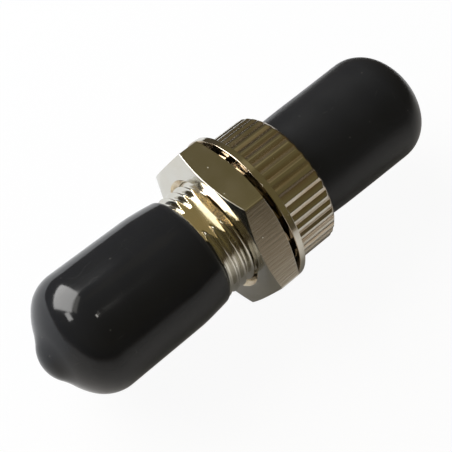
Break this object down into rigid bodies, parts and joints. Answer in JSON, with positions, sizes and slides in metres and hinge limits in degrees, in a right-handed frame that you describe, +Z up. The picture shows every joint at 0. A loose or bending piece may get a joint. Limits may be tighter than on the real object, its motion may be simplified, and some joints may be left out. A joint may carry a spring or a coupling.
{
  "type": "simplex fibre coupler",
  "caption": "Nickel-plated panel coupler that joins two fibre plugs end to end, with a threaded D-flat shank, hex nut, toothed washer, knurled flange and soft dust caps.",
  "frame": {"origin": "centre of the lip's front face, where the panel seats", "axes": "+X along the common axis towards the knurled half, +Z up and square to the D-flat, so the threaded half points to -X"},
  "size_m": [0.0393, 0.0152, 0.014],
  "materials": {
    "nickel_plate": "bright nickel plate over turned brass, with a warm tint",
    "sleeve_bronze": "satin phosphor bronze",
    "washer_steel": "plated spring steel",
    "black_vinyl": "glossy soft dipped vinyl"
  },
  "bodies": {
    "housing": {"threaded_housing": "nickel_plate", "knurled_flange_housing": "nickel_plate", "alignment_sleeve": "sleeve_bronze", "front_left_lug": "nickel_plate", "front_right_lug": "nickel_plate", "rear_left_lug": "nickel_plate", "rear_right_lug": "nickel_plate"},
    "washer": {"lock_washer": "washer_steel"},
    "nut": {"hex_nut": "nickel_plate"},
    "front_cap": {"front_dust_cap": "black_vinyl"},
    "rear_cap": {"rear_dust_cap": "black_vinyl"}
  },
  "joints": [
    {"name": "front_cap_pull", "type": "slide", "parent": "housing", "child": "front_cap", "axis": [-1, 0, 0], "range_m": [0, 0.02]},
    {"name": "rear_cap_pull", "type": "slide", "parent": "housing", "child": "rear_cap", "axis": [1, 0, 0], "range_m": [0, 0.02]},
    {"name": "washer_slide", "type": "slide", "parent": "housing", "child": "washer", "axis": [-1, 0, 0], "range_m": [0, 0.0023]},
    {"name": "nut_spin", "type": "hinge", "parent": "washer", "child": "nut", "pos_m": [-0.002, 0, 0], "axis": [-1, 0, 0], "range_deg": [0, 1080]}
  ],
  "couplings": [
    {"joint": "nut_spin", "follows": "washer_slide", "rad_per_m": 7913.4}
  ]
}
